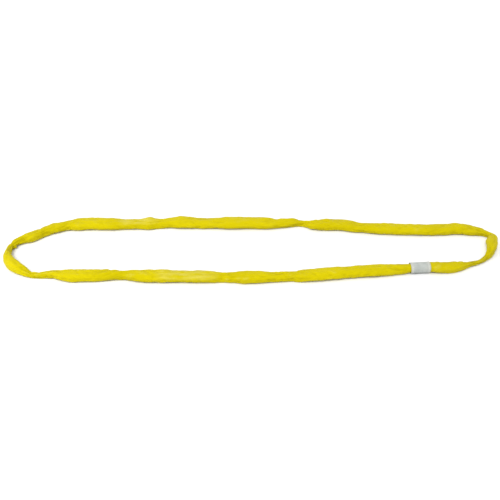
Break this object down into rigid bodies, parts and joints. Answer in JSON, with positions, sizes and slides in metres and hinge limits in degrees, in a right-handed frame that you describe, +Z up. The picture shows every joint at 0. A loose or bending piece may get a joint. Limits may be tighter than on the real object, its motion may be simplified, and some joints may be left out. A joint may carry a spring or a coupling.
{
  "type": "endless round sling",
  "caption": "Endless round sling: a yarn core in a double fabric sleeve, closed under a wrapped label, lying as a long narrow loop. It folds in half.",
  "frame": {"origin": "middle of the loop's footprint, on the surface that it lies on", "axes": "+X along the loop, towards the end nearest the label; +Y across the loop, away from the leg with the label; +Z up"},
  "size_m": [1.1386, 0.2567, 0.0259],
  "materials": {
    "cover_fabric": "bright yellow woven polyester sleeve with a soft sheen",
    "inner_fabric": "plain undyed woven polyester",
    "core_yarn": "undyed bulked polyester yarn",
    "tape": "cloth tape",
    "label_fabric": "light grey coated woven label, blank",
    "label_thread": "white polyester thread",
    "cover_thread": "yellow polyester thread",
    "inner_thread": "white polyester thread"
  },
  "bodies": {
    "right_half": {"outer_cover_right": "cover_fabric", "inner_cover_right": "inner_fabric", "core_yarn_right": "core_yarn", "core_end_tape": "tape", "label": "label_fabric", "label_stitching": "label_thread", "outer_cover_stitching": "cover_thread", "inner_cover_stitching": "inner_thread"},
    "left_half": {"outer_cover_left": "cover_fabric", "inner_cover_left": "inner_fabric", "core_yarn_left": "core_yarn"}
  },
  "joints": [
    {"name": "fold", "type": "hinge", "parent": "right_half", "child": "left_half", "pos_m": [-0.00872, 0, 0.0235], "axis": [0, 1, 0], "range_deg": [0, 179]}
  ]
}
